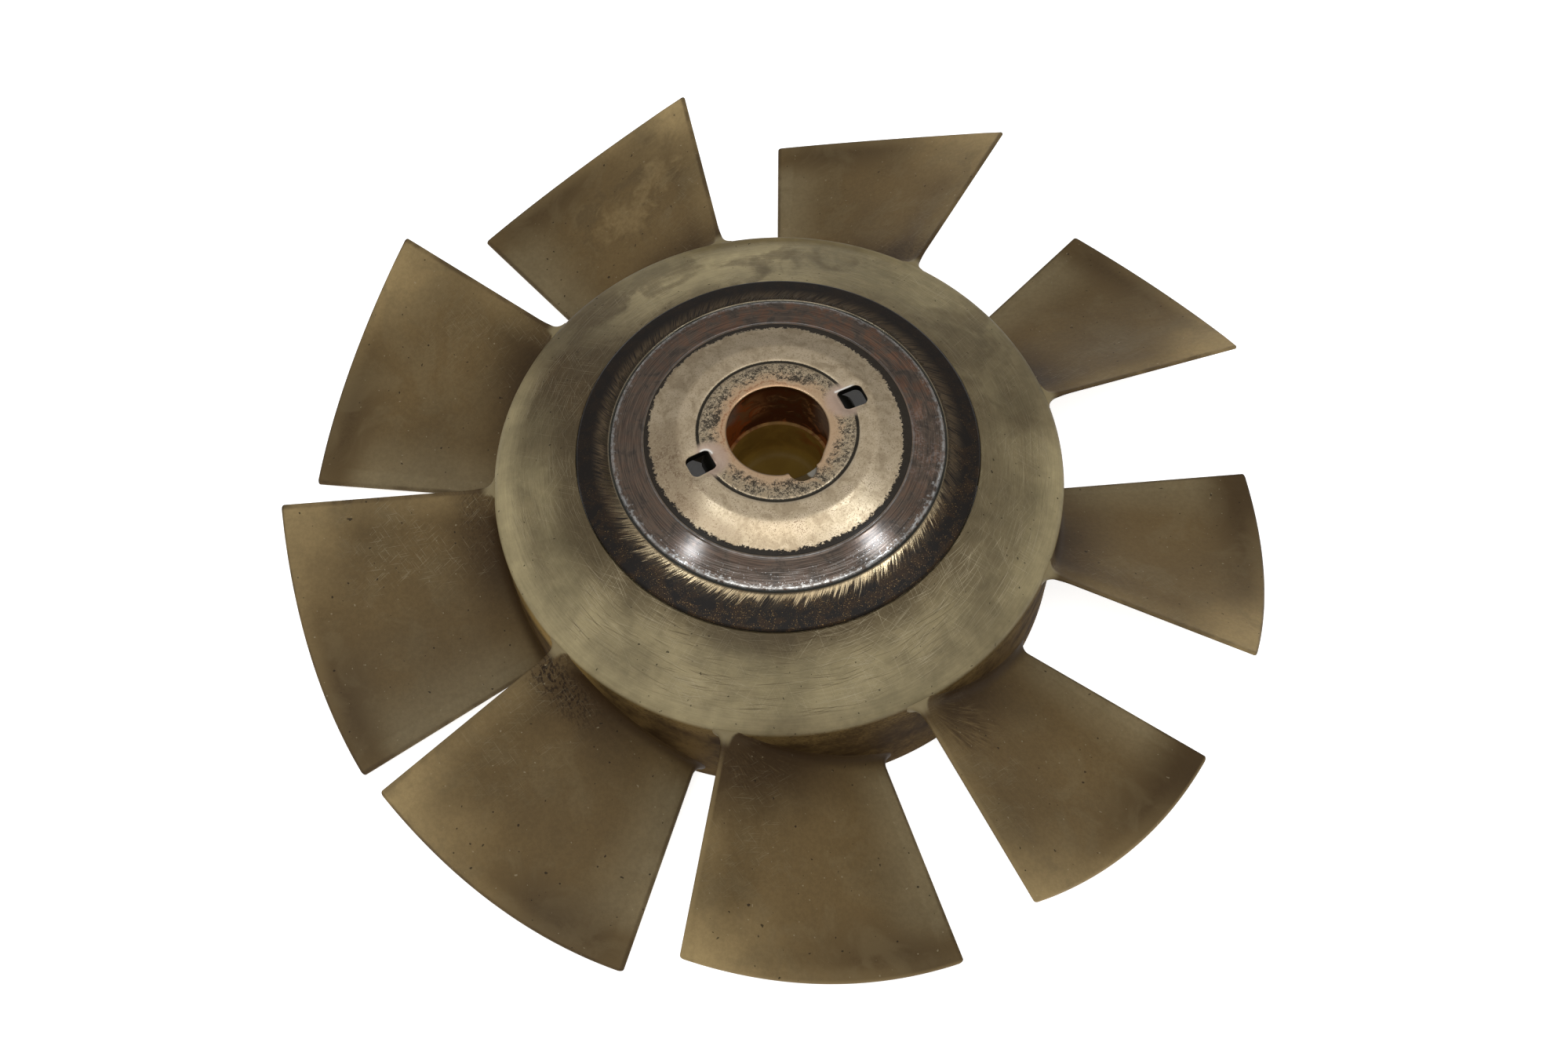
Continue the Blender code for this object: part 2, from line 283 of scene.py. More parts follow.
def faceNylon():
    finish = Finish("agedNylonFace", nylon, "face", 0.12)
    paint, shade, grain, lobe = finish.paint, finish.shade, finish.grain, finish.lobe
    around, radius, z = finish.around, finish.radius, finish.z
    cloud = grain(0.03, 4.0, 0.6)
    torn = grain(0.5, 5.0, 0.8)
    smear = grain(0.045, 3.0, 0.55, 0.5) + (torn - 0.5) * 0.16
    wander = (cloud - 0.5) * 10.0
    # Stains, smears, and the paler band along the rim, which is a painted glow of light through the
    # translucent nylon
    paint("faceStain", ramp(radius + wander, 96.0, 80.0) * 0.55)
    paint("faceStain", ramp(smear, 0.46, 0.62) * 0.4)
    paint("faceDirt", lobe(150.0, 34.0) * ramp(cloud, 0.3, 0.55, 0.6, 1.0))
    paint("faceDirt", lobe(26.0, 26.0) * ramp(smear, 0.4, 0.6, 0.15, 0.45))
    paint("faceStain", lobe(-18.0, 30.0) * ramp(radius, 106.0, 98.0) * 0.5)
    paint("faceDirt", lobe(180.0, 28.0) * ramp(radius + wander, 96.0, 82.0) * 0.7)
    paint("faceDirt", ramp(smear, 0.54, 0.7) * lobe(80.0, 50.0) * 0.4)
    wavy = radius + wander * 0.7
    rimSides = lobe(-166.0, 52.0) * 0.95 + lobe(-10.0, 36.0) * 0.55 + 0.1
    # Painted glow of light through the rim, strongest at the sides
    paint("paleAndPaintedLight", ramp(wavy, 101.0, 111.0) * rimSides)
    paint("paleAndPaintedLight", ramp(radius, 107.5, 111.0) * lobe(-140.0, 55.0) * 0.85)
    # Darker, warmer tone on the rim's rounding, mostly on the far side
    paint("faceStain", ramp(radius, 106.0, 111.0) * (lobe(90.0, 26.0) + lobe(-88.0, 16.0) * 0.7) * 0.8)
    paint("rimWarmDark", ramp(radius, 107.0, 111.0) * lobe(86.0, 30.0) * 0.6)
    # Painted sheen on the face near the camera
    paint("paleAndPaintedLight", lobe(-124.0, 34.0) * ramp(cloud, 0.35, 0.6, 0.4, 0.8))
    paint("paleAndPaintedLight", lobe(-64.0, 26.0) * ramp(cloud, 0.35, 0.6, 0.2, 0.6))
    paint("paleAndPaintedLight", lobe(106.0, 42.0) * ramp(smear, 0.6, 0.46) * ramp(radius, 109.0, 101.0) * 0.65)
    shade(1.0 + lobe(106.0, 32.0) * band(radius, 90.0, 104.0, 4.0) * 0.2)
    paint("faceDirt", lobe(-92.0, 80.0) * ramp(wavy, 92.0, 81.0) * 0.72)
    paint("faceDirt", lobe(122.0, 24.0) * ramp(radius + wander * 0.6, 88.0, 81.0) * 0.6)
    paint("faceDirt", ramp(wavy, 99.0, 84.0) * (lobe(-148.0, 24.0) * 0.62 + lobe(-58.0, 26.0) * 0.42))
    paint("faceDirt", lobe(17.0, 17.0) * ramp(radius + wander * 0.5, 88.0, 96.0) * 0.45)
    shade(ramp(cloud, 0.28, 0.72, 0.84, 1.16))
    # Circular brushing, then fine scratches that cross it at small slants
    brushed = around(6.0, radius * 1.5, 4.0, 0.7)
    shade(ramp(brushed, 0.32, 0.68, 0.93, 1.07))
    shade(ramp(grain(0.18, 4.0, 0.7), 0.32, 0.68, 0.92, 1.08))
    worn = ramp(cloud, 0.38, 0.6, 0.35, 1.0) * ramp(radius, 111.0, 106.0)
    light = added(
        finish.arcs,
        (0.05, 30.0, 0.3, 0.62, 0.74),
        (-0.16, 22.0, 0.28, 0.64, 0.75, 7.0),
        (0.28, 20.0, 0.26, 0.65, 0.76, 13.0),
    )
    cross = added(
        finish.strokes,
        (52.0, 24.0, 0.22, 0.64, 0.73, 19.0),
        (-26.0, 20.0, 0.22, 0.64, 0.74, 29.0),
        (112.0, 22.0, 0.22, 0.65, 0.74, 39.0),
    )
    rubbed = 0.36 + 0.5 * lobe(-48.0, 44.0) + 0.3 * lobe(-125.0, 34.0)
    paint("scratchLight", (light + cross) * worn * rubbed)
    dark = added(finish.arcs, (0.1, 20.0, 0.45, 0.6, 0.71, 37.0), (-0.08, 24.0, 0.5, 0.61, 0.72, 41.0))
    paint("faceDirt", dark * worn * (0.34 + 0.24 * lobe(-100.0, 70.0)))
    paint("speck", finish.specks(0.75, 0.82, 0.85) * 0.75)
    # The upright skirt under the rim: gold where light comes through, painted as a glow near the top, and
    # darker below, from dirt and painted shade
    skirt = ramp(z, 52.4, 49.6) * ramp(radius, 112.9, 113.9)
    drip = around(7.0, z * 0.07, 4.0, 0.6)
    gold = ramp(z + (drip - 0.5) * 20.0, 38.0, 50.0)
    grime = ramp(grain(0.6, 4.0, 0.7), 0.5, 0.62)
    scuffs = around(60.0, z * 0.9 + finish.cosine * 30.0, 3.0, 0.7)
    paint(finish.mixed("skirtDark", "skirtMid", ramp(drip, 0.3, 0.66)), skirt)
    far = lobe(90.0, 110.0)
    # A stronger painted glow of light through the skirt between two blades
    glow = lobe(-141.0, 15.0) * ramp(z, 36.0, 44.0) * 0.5
    paint("skirtGold", skirt * far * 0.35)
    paint("skirtGold", skirt * gold * (0.34 - grime * 0.2))
    paint("skirtGlow", skirt * glow)
    paint("skirtDark", skirt * lobe(-72.0, 26.0) * ramp(scuffs, 0.4, 0.58, 0.15, 0.55))
    paint("skirtDark", skirt * grime * ramp(scuffs, 0.46, 0.6) * (0.45 - 0.3 * far))
    finish.rough = ramp(cloud, 0.3, 0.7, 0.46, 0.62) + skirt * 0.35
    finish.height = (brushed - 0.5) * 0.05 + light * worn * 0.03
    return finish.done()


def bladeNylon():
    finish = Finish("agedNylonBlade", nylon, "blade", 0.12)
    paint, shade, grain, lobe = finish.paint, finish.shade, finish.grain, finish.lobe
    sector, z = finish.sector, finish.z
    place = fieldNode(finish.tree, "ShaderNodeAttribute", output="Vector", attribute_name="outAndUp")
    out, up = separate(place)[:2]
    cloud = grain(0.02, 3.0, 0.5)
    patch = grain(0.05, 4.0, 0.6, 0.8)
    mottle = grain(0.55, 4.0, 0.75)
    drift = (cloud - 0.5) * 0.3
    # Dirt gathers at the root and behind the low corner of the tip, the tip's high corner stays pale
    rootDirt = ramp(out + drift * 0.5, 0.36, 0.03) * ramp(up + drift, 0.1, 0.66, 0.02, 0.9)
    paint("bladeDark", rootDirt * ramp(up, 0.82, 0.97, 1.0, 0.45))
    tipDirt = ramp(out + drift * 0.7, 0.66, 1.0) * band(up + drift * 0.6, 0.05, 0.5, 0.18)
    paint("bladeDark", tipDirt * ramp(mottle, 0.4, 0.6, 0.5, 0.8))
    lowPale = ramp(up + drift * 0.3, 0.3, 0.04) * band(out + drift * 0.6, 0.08, 0.8, 0.1)
    paint("bladePale", lowPale * 0.62)
    paint("bladePale", ramp(up, 0.075, 0.055) * band(out + drift * 0.4, 0.08, 0.84, 0.06) * 0.35)
    paint("bladeLight", ramp(out + drift * 0.7, 0.58, 1.02) * ramp(up + drift * 0.7, 0.58, 1.0) * 0.95)
    paint("bladeLight", ramp(out, 0.9, 0.99) * ramp(up, 0.05, 0.3, 0.3, 1.0) * 0.22)
    paint("bladeLight", ramp(up, 0.86, 0.99) * ramp(out, 0.05, 0.3) * 0.26)
    paint("bladeDust", ramp(patch, 0.46, 0.64) * ramp(out, 0.1, 0.4) * 0.4)
    shade(ramp(cloud, 0.3, 0.7, 0.86, 1.12))
    shade(ramp(mottle, 0.35, 0.65, 0.93, 1.07))
    corner = ramp(out + drift * 0.4, 0.66, 1.0) * ramp(up + drift * 0.4, 0.5, 0.05)
    paint("bladeDark", corner * (sector(-10.5) * 0.7 + sector(30.5) * 0.35 + sector(-49.0) * 0.75))
    # Place on the blade from its root's high corner, in millimetres
    cornerOut, cornerDown = out * 85.0, (1.0 - up) * 68.0
    fan = act("ARCTAN2", cornerDown, cornerOut)
    fanReach = distance(cornerOut, cornerDown)
    spread = finish.grainAt(combine(fan * 24.0, fanReach * 0.12, finish.cosine * 9.0), 4.0, 0.75)
    paint("bladeDark", sector(-86.5) * ramp(fanReach + (patch - 0.5) * 30.0, 42.0, 12.0) * 0.85)
    fanZone = ramp(fanReach, 4.0, 12.0) * ramp(fanReach + (patch - 0.5) * 60.0, 34.0, 12.0)
    fanZone = fanZone * ramp(fan, 0.1, 0.5)
    some = sector(-49.0) + sector(-86.5) * 0.6 + 0.12
    paint("bladeLight", fanZone * ramp(spread, 0.5, 0.74) * some * 0.26)
    paint("bladeDark", fanZone * ramp(spread, 0.52, 0.38) * some * 0.75)
    # Flecks beside the root, dark and torn, on the blades nearest the camera
    fleck = finish.grainAt(combine(out * 90.0 + up * 26.0, up * 44.0, finish.cosine * 9.0), 3.0, 0.7)
    fleckZone = band(cornerOut + drift * 26.0, 4.0, 15.0, 5.0) * ramp(up + drift, 0.5, 0.85)
    worst = sector(-124.0) + sector(-162.5) * 0.35 + sector(73.5) * 0.4 + sector(-86.5) * 0.3
    paint("bladeDark", fleckZone * worst * 0.35)
    paint("fleck", ramp(fleck, 0.5, 0.56) * fleckZone * worst)
    # Fine scratches over the high half, and a water stain on one far blade
    lines = added(
        finish.strokes,
        (38.0, 9.0, 0.35, 0.62, 0.72, 51.0),
        (-52.0, 8.0, 0.32, 0.63, 0.73, 57.0),
        (8.0, 10.0, 0.3, 0.64, 0.74, 63.0),
    )
    lines = lines * ramp(up, 0.45, 0.8) * ramp(out, 0.85, 0.5) * ramp(patch, 0.38, 0.56)
    paint("scratchLight", lines * (0.14 + 0.2 * sector(-162.5)))
    swirl = grain(0.07, 3.0, 0.6, 1.2)
    course = ((-48.0, 165.0), (-57.0, 154.0), (-63.0, 142.0), (-72.0, 150.0))
    stain = finish.trail(course, (swirl - 0.5) * 46.0, (patch - 0.5) * -34.0)
    paint("bladeLight", ramp(stain, 9.0, 0.0) * sector(116.0) * ramp(mottle, 0.35, 0.6, 0.6, 1.0) * 0.3)
    paint("bladeDark", band(stain, 7.0, 14.0, 3.0) * sector(116.0) * ramp(patch, 0.45, 0.6) * 0.3)
    # Thin dark lines along the edges, with painted highlights on the near high edges and on the tips of
    # two blades
    nearest = lobe(-88.0, 75.0)
    tip = ramp(out, 0.985, 0.998)
    tipGlint = sector(-49.0) * 0.8 + sector(-86.5) * 0.6
    high, low = ramp(up, 0.985, 0.998), ramp(up, 0.01, 0.0)
    rimLine = tip * (0.7 - tipGlint * 0.7) + low * 0.6 + high * (0.7 - nearest * 0.6)
    paint("bladeDark", rimLine * ramp(patch, 0.36, 0.56, 0.3, 0.9))
    # Painted highlights on the near high edges and two blades' tips
    paint("bladeLight", high * nearest * ramp(out, 0.05, 0.2) * 0.3 + tip * tipGlint * 0.5)
    paint("speck", finish.specks(0.6, 0.835, 0.86) * 0.8)
    paint("scratchLight", finish.specks(0.8, 0.84, 0.86) * 0.35)
    # Painted shade and dirt in the corner where the blade runs into the skirt, and a painted highlight on
    # its gusset under the rim
    paint("skirtDark", ramp(out, 0.06, 0.01) * ramp(z, 47.5, 43.5) * 0.8)
    paint("paleAndPaintedLight", ramp(out, 0.07, 0.02) * ramp(up, 0.968, 0.992) * 0.6)
    finish.rough = ramp(cloud, 0.3, 0.7, 0.46, 0.62)
    finish.height = (grain(0.3, 3.0, 0.6) - 0.5) * 0.08
    return finish.done()


bore = {
    "olive": (0.30, 0.175, 0.032),
    "oliveFloor": (0.200, 0.120, 0.018),
    "oliveDeep": (0.17, 0.095, 0.016),
    "wall": (0.24, 0.105, 0.036),
    "grey": (0.20, 0.145, 0.10),
    "rust": (0.27, 0.060, 0.010),
    "sootAndShade": (0.024, 0.009, 0.003),
    "ledge": (0.36, 0.225, 0.070),
    "scuff": (0.23, 0.21, 0.175),
    "shade": (0.055, 0.034, 0.010),
}


def boreNylon():
    finish = Finish("agedNylonBore", bore, "olive", 0.15)
    paint, grain, lobe, z = finish.paint, finish.grain, finish.lobe, finish.z
    cloud = grain(0.08, 4.0, 0.6, 0.6)
    runs = finish.around(2.4, z * 0.15, 5.0, 0.62, 1.1)
    above = ramp(z, 51.8, 53.0)
    paint("oliveFloor", ramp(z, 37.0, 33.0))
    paint("oliveDeep", ramp(cloud, 0.42, 0.62) * 0.45)
    paint("wall", above)
    paint("rust", above * ramp(runs + lobe(165.0, 80.0) * 0.2, 0.44, 0.54) * 0.95)
    paint("rust", above * ramp(z + (runs - 0.5) * 30.0, 59.0, 54.0) * 0.6)
    paint("sootAndShade", above * ramp(runs + lobe(80.0, 70.0) * 0.2, 0.55, 0.66) * 0.8)
    tan = lobe(120.0, 26.0) * band(z + (cloud - 0.5) * 16.0, 60.0, 72.0, 3.0)
    paint("wall", tan * ramp(runs, 0.42, 0.56) * 0.8)
    # Painted shadow at the top of the wall, under the plate's edge
    paint("sootAndShade", above * ramp(z + (cloud - 0.5) * 8.0, 75.0, 78.5) * 0.6)
    blotch = z + (cloud - 0.5) * 26.0
    sides = lobe(16.0, 36.0) * ramp(blotch, 56.0, 66.0) + lobe(160.0, 34.0) * ramp(blotch, 66.0, 74.0)
    paint("grey", above * sides * 0.8)
    paint("ledge", bell(z, 52.5, 0.35) * ramp(runs, 0.6, 0.45, 0.1, 0.5))
    drips = ramp(runs, 0.5, 0.62) * lobe(20.0, 60.0)
    paint("rust", band(z + (cloud - 0.5) * 8.0, 43.0, 51.6, 2.0) * drips * 0.6)
    # The tube's end shows dark through the notch, with one pale scuff
    paint("shade", ramp(z, 79.4, 80.2))
    scuffX, scuffY = finish.x - 13.3, finish.y + 18.1
    paint("scuff", ramp(scuffX * scuffX + scuffY * scuffY, 9.0, 4.0) * ramp(z, 79.4, 80.2))
    finish.rough = ramp(cloud, 0.3, 0.7, 0.45, 0.62)
    return finish.done()


# Steel plate: worn paint, zinc and rust in rings
steel = {
    "zinc": (0.53, 0.425, 0.285),
    "stain": (0.20, 0.135, 0.078),
    "pale": (0.66, 0.54, 0.385),
    "cream": (0.62, 0.415, 0.250),
    "paint": (0.0135, 0.0105, 0.0085),
    "sootAndShade": (0.006, 0.0055, 0.004),
    "paintRust": (0.034, 0.019, 0.009),
    "fleckGold": (0.42, 0.27, 0.11),
    "worn": (0.078, 0.053, 0.036),
    "wornRust": (0.112, 0.055, 0.030),
    "brass": (0.62, 0.48, 0.29),
    "silver": (0.60, 0.60, 0.58),
    "lipHighlight": (0.92, 0.89, 0.82),
    "rust": (0.50, 0.21, 0.085),
    "rustDeep": (0.24, 0.080, 0.028),
    "groove": (0.022, 0.026, 0.024),
    "fog": (0.150, 0.104, 0.058),
    "blush": (0.52, 0.375, 0.31),
}


def plateSteel():
    finish = Finish("wornCoatedSteel", steel, "zinc", 0.12)
    paint, shade, grain, lobe = finish.paint, finish.shade, finish.grain, finish.lobe
    around, hairs, radius = finish.around, finish.hairs, finish.radius
    patch = grain(0.16, 4.0, 0.65, 0.6)
    sway = patch - 0.5
    grit = grain(1.3, 4.0, 0.75)
    fine = grain(2.6, 2.0, 0.6)
    pepper = grain(1.0, 6.0, 0.92)
    ring = around(4.0, radius * 2.6, 3.0, 0.65)
    near = lobe(-80.0, 110.0)
    # The outer rings were pressed a little off the hole's centre
    ringRadius = radius - finish.sine * plate["ringShift"]
    # Zinc dish with pale and brown stains, and sandy grit
    paint("pale", ramp(patch, 0.45, 0.65) * 0.5)
    paint("stain", ramp(patch, 0.52, 0.36) * 0.35)
    paint("stain", ramp(grit, 0.52, 0.64) * 0.5)
    sand = ramp(fine + sway * 0.5, 0.6, 0.66) * band(radius, 33.0, 50.0, 2.0)
    paint("stain", sand * (0.25 + 0.5 * near))
    dusty = lobe(-128.0, 26.0) * band(radius, 44.0, 51.0, 2.5)
    paint("stain", dusty * ramp(patch, 0.35, 0.6, 0.25, 0.6))
    smudge = lobe(-160.0, 34.0) * band(radius, 38.0, 51.0, 3.0) * ramp(patch, 0.38, 0.56, 0.25, 1.0)
    paint("stain", smudge * ramp(pepper, 0.42, 0.56, 0.25, 0.9))
    # Pad round the hole: black speckles in clusters, a rusty cream tone by the hole
    paint("cream", ramp(radius + sway * 8.0, 27.5, 23.5) * 0.65)
    farRust = 0.25 + 0.75 * lobe(140.0, 100.0)
    tint = ramp(radius + sway * 9.0, 24.5, 20.5) * farRust
    paint("rust", tint * ramp(patch, 0.4, 0.56, 0.25, 1.0) * 0.42)
    creep = bell(radius + sway * 8.0 + (grit - 0.5) * 2.0, 21.8, 0.4) * ramp(grit, 0.4, 0.56)
    paint("rustDeep", creep * farRust * 0.75)
    speckled = band(radius + sway * 8.0 + (pepper - 0.5) * 6.0, 23.6, 31.0, 1.0)
    dots = ramp(pepper + sway * 0.45, 0.495, 0.52) * speckled
    slots = finish.slotReach()
    plain = 1.0 - slots
    dots = dots * plain
    paint("paint", dots * 0.92)
    line = ramp(act("ABSOLUTE", radius + (fine - 0.5) * 0.5 - 31.2), 0.85, 0.45) * plain
    paint("sootAndShade", line * 0.95)
    # Painted highlight along the groove's outer edge on the near side
    paint("pale", bell(radius, 32.2, 0.3) * near * plain * 0.8)
    paint("blush", slots * ramp(radius, 34.5, 31.0) * 0.65)
    paint("stain", ramp(radius, 20.5, 20.15) * 0.6)
    # Painted highlights on the lips where the tongues were torn off: along one slot's far side, round the
    # other's corner
    narrow, wide, rounding = plate["slotNarrow"], plate["slotWide"], plate["slotRounding"]
    along, across = inSlot(0, finish.x, finish.y)
    farSide = across - ramp(along, -slotEnd, slotEnd, narrow, wide, kind="LINEAR")
    lipHighlights = bell(farSide, 0.25, 0.38) * ramp(along, 4.0, 1.0) * ramp(along, -slotEnd - 0.5, -slotEnd + 0.4)
    along, across = inSlot(1, finish.x, finish.y)
    cornerX, cornerY = along + (slotEnd - rounding), across + (narrow - rounding)
    fromCorner = distance(cornerX, cornerY) - rounding
    lipHighlights = lipHighlights + bell(fromCorner, 0.3, 0.45) * ramp(cornerX, 1.6, 0.2) * ramp(cornerY, 0.8, -0.4)
    lipHighlights = act("MINIMUM", lipHighlights, 1.0)
    # Painted highlight, near white
    paint("lipHighlight", lipHighlights)
    # Remains of paint inside the step
    inward = lobe(20.0, 70.0) * 1.3 - lobe(150.0, 35.0) * 0.9
    torn = (grain(0.6, 5.0, 0.82) - 0.5) * 6.5 + sway * 3.0 + inward
    left = ramp(radius + torn, 49.9, 50.2) * ramp(radius, 52.6, 52.3)
    paint("paint", left * 0.97)
    # Worn ring, smooth and dark, silvered along its outer edge, with painted glints on its near side
    worn = ramp(radius, 52.3, 52.6) * ramp(ringRadius, 66.0, 65.6)
    paint("worn", worn)
    paint("wornRust", worn * ramp(patch, 0.46, 0.6) * (0.25 + 0.75 * lobe(60.0, 110.0)))
    paint("sootAndShade", worn * ramp(patch, 0.46, 0.36) * 0.4)
    shade(1.0 + worn * ramp(ring, 0.35, 0.65, -0.4, 0.55))
    chips = around(34.0, radius * 0.8, 4.0, 0.7) + ramp(ringRadius, 60.0, 64.6, -0.16, 0.03)
    silverAndGlints = worn * ramp(chips, 0.55, 0.64) * (0.2 + 0.4 * lobe(-80.0, 100.0))
    dashes = around(22.0, radius * 0.5 + 5.0, 3.0, 0.7)
    silverAndGlints = silverAndGlints + bell(ringRadius, 64.9, 0.55) * ramp(dashes, 0.36, 0.56) * (0.38 + 0.25 * near)
    # Silver sparkles and streaks on the near side are painted glints
    silverAndGlints = silverAndGlints + ramp(grit, 0.615, 0.66) * band(radius, 57.0, 65.0, 2.0) * lobe(-85.0, 70.0) * 0.8
    silverAndGlints = silverAndGlints + ramp(ring, 0.5, 0.62) * band(radius, 57.0, 63.0, 1.5) * lobe(-86.0, 52.0) * 0.2
    silverAndGlints = silverAndGlints + bell(radius, 53.0, 0.32) * ramp(dashes, 0.34, 0.6, 0.4, 1.0) * (0.08 + 0.24 * near)
    silverAndGlints = act("MINIMUM", silverAndGlints, 1.0)
    paint("silver", silverAndGlints)
    scuffed = worn * lobe(-4.0, 22.0) * ramp(pepper + sway * 0.6, 0.52, 0.6)
    paint("silver", scuffed * 0.14)
    groove = band(ringRadius, 65.5, 66.5, 0.2)
    paint("groove", groove * 0.93)
    # Painted margin, brushed through to the brass-coloured zinc along its inner side
    outer = ramp(ringRadius, 66.4, 66.8)
    paint("paint", outer)
    paint("paintRust", outer * ramp(patch, 0.42, 0.62) * (0.2 + 0.7 * near))
    strands = hairs(170.0, 0.16) * 0.6 + hairs(60.0, 0.12) * 0.4
    reach = 2.4 + lobe(-172.0, 58.0) * 4.4 + lobe(-118.0, 45.0) * 3.0 + lobe(-62.0, 42.0) * 2.6
    reach = reach + lobe(62.0, 50.0) * 2.2 + lobe(112.0, 45.0) * 2.2
    ragged = hairs(13.0, 0.03)
    away = (ringRadius - 66.8) / (reach * ramp(ragged, 0.32, 0.68, 0.5, 1.3))
    bare = outer * ramp(strands - away * 0.27 - (1.0 - near) * 0.07, 0.33, 0.42)
    # The bared brass is laid on most where the lamps' highlights fall: partly real wear, partly painted
    # highlight
    paintedShine = 0.1 + 0.5 * lobe(-126.0, 42.0) + 0.66 * lobe(-54.0, 42.0) + 0.22 * lobe(-90.0, 36.0)
    paintedShine = paintedShine * (1.0 - bell(ringRadius, 66.4, 0.7) * lobe(-90.0, 34.0) * 0.7)
    streaks = hairs(130.0, 0.05)
    paint("brass", bare * paintedShine * ramp(streaks, 0.34, 0.6, 0.45, 1.0))
    fog = outer * ramp(ringRadius, 74.0, 67.5) * ramp(strands, 0.38, 0.58)
    paint("fog", fog * (0.55 + 0.35 * lobe(-172.0, 60.0)) * (1.0 - bare))
    flecks = outer * ramp(fine, 0.64, 0.69) * ramp(patch, 0.38, 0.52) * (0.1 + 0.9 * near)
    paint("fleckGold", flecks * 0.9)
    # The sheet's cut edges and its back are black, for soot and painted shade on the walls and tongues
    # seen in the slots: what lies under the front, whose height falls in steps
    front = 82.4
    radii, drops = (30.0, 36.0, 43.5, 53.0, 67.5, 79.4), (0.45, 1.45, 3.35, 4.35, 3.6)
    for start, end, drop in zip(radii, radii[1:], drops):
        front = front + ramp(radius, start, end, 0.0, -drop, kind="LINEAR")
    back = ramp(finish.z - front, -0.62, -0.85) * ramp(radius, 20.8, 22.5)
    # Black for soot and painted shade
    paint("sootAndShade", back)
    covered = left + outer * (1.0 - bare) * (1.0 - flecks) + dots * 0.85 + line * 0.7 + back + groove * 0.5
    covered = covered + worn * (1.0 - silverAndGlints) * 0.6 + lipHighlights * 0.6
    finish.metal = 1.0 - act("MINIMUM", covered, 1.0)
    calm = 1.0 - worn * 0.85
    finish.rough = ramp(radius, 51.5, 52.6, 0.32, 0.14) + outer * 0.22 - bare * 0.1
    finish.rough = finish.rough + ramp(grit, 0.4, 0.6, -0.02, 0.04) * calm
    finish.coat = worn * (1.0 - silverAndGlints) * 0.6
    grained = (grit - 0.5) * 0.004 * calm + worn * (ring - 0.5) * 0.03
    finish.height = grained + (left + outer * (1.0 - bare)) * 0.04
    return finish.done()


# Shapes in millimetres on the fan's axis, made into meshes in metres
def meshObject(name, points, faces, material):
    mesh = bpy.data.meshes.new(name)
    mesh.from_pydata([Vector(point) * mm for point in points], [], faces)
    if material:
        mesh.materials.append(material)
    mesh.validate()
    item = bpy.data.objects.new(name, mesh)
    bpy.context.scene.collection.objects.link(item)
    return item


# Faces that join each column of points to the next one, closed all round and along the column
def ringFaces(steps, count):
    faces = []
    for step in range(steps):
        here, there = step * count, (step + 1) % steps * count
        for row in range(count):
            after = (row + 1) % count
            faces.append((here + row, there + row, there + after, here + after))
    return faces


# Points on the axis are merged, and the faces turned to the outside
def sealMesh(item):
    mergeDistance = 0.001 * mm
    shape = bmesh.new()
    shape.from_mesh(item.data)
    bmesh.ops.remove_doubles(shape, verts=shape.verts, dist=mergeDistance)
    bmesh.ops.recalc_face_normals(shape, faces=shape.faces)
    if shape.calc_volume(signed=True) < 0:
        bmesh.ops.reverse_faces(shape, faces=shape.faces)
    shape.to_mesh(item.data)
    shape.free()


def smooth(item, degrees=32.0):
    item.data.shade_smooth()
    item.data.set_sharp_from_angle(angle=math.radians(degrees))


def turned(name, profile, steps, material):
    points = []
    for step in range(steps):
        turn = 2.0 * math.pi * step / steps
        points += [(r * math.cos(turn), r * math.sin(turn), z) for r, z in profile]
    item = meshObject(name, points, ringFaces(steps, len(profile)), material)
    sealMesh(item)
    smooth(item)
    return item


# Corners of a profile rounded by arcs: each corner is radius, height and rounding
def rounded(corners, pieces=5):
    line = []
    for index, (r, z, size) in enumerate(corners):
        here = Vector((r, z))
        before = Vector(corners[index - 1][:2])
        after = Vector(corners[(index + 1) % len(corners)][:2])
        if size <= 0:
            line.append((r, z))
            continue
        inward, outward = (before - here).normalized(), (after - here).normalized()
        half = inward.angle(outward) / 2.0
        most = 0.49 * min((before - here).length, (after - here).length)
        reach = min(size / math.tan(half), most)
        size = reach * math.tan(half)
        centre = here + (inward + outward).normalized() * size / math.sin(half)
        start, end = here + inward * reach - centre, here + outward * reach - centre
        for piece in range(pieces + 1):
            ray = start.lerp(end, piece / pieces).normalized() * size
            line.append(tuple(centre + ray))
    return line


def subdivided(line, longest):
    result = []
    for index, point in enumerate(line):
        here, after = Vector(point), Vector(line[(index + 1) % len(line)])
        cuts = max(1, math.ceil((after - here).length / longest))
        result += [tuple(here.lerp(after, cut / cuts)) for cut in range(cuts)]
    return result


hubSizes = {
    "radius": 114.4,
    "wall": 3.0,
    "rimHeight": 53.0,
    "rimRounding": 4.5,
    "faceInner": 79.7,
    "faceInnerHeight": 68.2,
    "faceDepth": 3.3,
    "steps": 288,
}


def faceHeight(radius):
    s = hubSizes
    slope = (s["rimHeight"] - s["faceInnerHeight"]) / (s["radius"] - s["faceInner"])
    return s["faceInnerHeight"] + slope * (radius - s["faceInner"])


def makeHub(material):
    s = hubSizes
    inside = s["radius"] - s["wall"]
    corners = [
        (s["faceInner"], s["faceInnerHeight"], 0.4),
        (s["radius"], s["rimHeight"], s["rimRounding"]),
        (s["radius"], 0.0, 0.7),
        (inside, 0.0, 0.7),
        (inside, faceHeight(inside) - s["faceDepth"], 3.0),
        (s["faceInner"], s["faceInnerHeight"] - s["faceDepth"], 0.3),
    ]
    hub = turned("hubShell", subdivided(rounded(corners, 8), 4.0), s["steps"], material)
    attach(hub, "root")
    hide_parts("hub_face", "hub_skirt")


